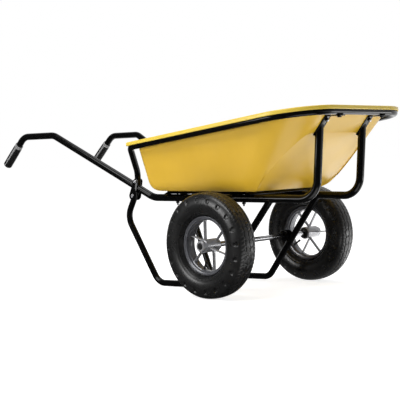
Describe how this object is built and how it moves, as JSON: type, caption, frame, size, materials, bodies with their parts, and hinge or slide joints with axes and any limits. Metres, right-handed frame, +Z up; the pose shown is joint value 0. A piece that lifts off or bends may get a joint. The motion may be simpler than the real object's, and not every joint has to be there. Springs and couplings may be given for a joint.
{
  "type": "two wheel wheelbarrow",
  "caption": "Garden wheelbarrow with a wheel on each side, bent tube chassis, moulded tray, loop legs and down-turned grips, for moving loose loads by hand.",
  "frame": {"origin": "on the ground, below the middle of the bounding box", "axes": "+X towards the nose, +Y to the user's left, +Z up"},
  "size_m": [1.833, 0.719, 0.7001],
  "materials": {
    "frame": "gloss black paint",
    "steel": "bright steel",
    "tray": "smooth yellow moulding",
    "zinc": "zinc plated",
    "dark_steel": "black oxide",
    "grip": "smooth black rubber",
    "inlay": "grey satin",
    "tyre": "satin black rubber",
    "inner_tube": "matt black rubber",
    "rim": "grey metallic paint",
    "bearing": "off white",
    "cap": "satin black",
    "valve": "matt black rubber"
  },
  "bodies": {
    "chassis": {"right_main_tube": "frame", "left_main_tube": "frame", "right_leg": "frame", "left_leg": "frame", "rim_tube": "frame", "right_rear_bracket": "frame", "left_rear_bracket": "frame", "right_nose_strap": "frame", "left_nose_strap": "frame", "rear_cross_bar": "frame", "front_cross_bar": "frame", "right_axle_saddle": "frame", "left_axle_saddle": "frame", "axle": "steel", "thrust_washers": "steel", "retaining_pins": "steel", "tray": "tray", "tray_bolts": "zinc", "tray_washers": "zinc", "nose_bolts": "zinc", "leg_bolts": "zinc", "foot_bolts": "zinc", "tray_nuts": "dark_steel", "nose_nuts": "dark_steel", "bracket_nuts": "dark_steel", "strap_bolts": "dark_steel", "right_grip": "grip", "left_grip": "grip", "right_grip_inlay": "inlay", "left_grip_inlay": "inlay"},
    "right_wheel": {"right_tyre": "tyre", "right_inner_tube": "inner_tube", "right_rim": "rim", "right_spokes": "rim", "right_hub": "rim", "right_bearings": "bearing", "right_inner_cap": "cap", "right_outer_cap": "cap", "right_valve": "valve"},
    "left_wheel": {"left_tyre": "tyre", "left_inner_tube": "inner_tube", "left_rim": "rim", "left_spokes": "rim", "left_hub": "rim", "left_bearings": "bearing", "left_inner_cap": "cap", "left_outer_cap": "cap", "left_valve": "valve"}
  },
  "joints": [
    {"name": "right_wheel_spin", "type": "hinge", "parent": "chassis", "child": "right_wheel", "pos_m": [0.42276, -0.306, 0.2], "axis": [0, 1, 0], "continuous": true},
    {"name": "left_wheel_spin", "type": "hinge", "parent": "chassis", "child": "left_wheel", "pos_m": [0.42276, 0.306, 0.2], "axis": [0, 1, 0], "continuous": true}
  ]
}
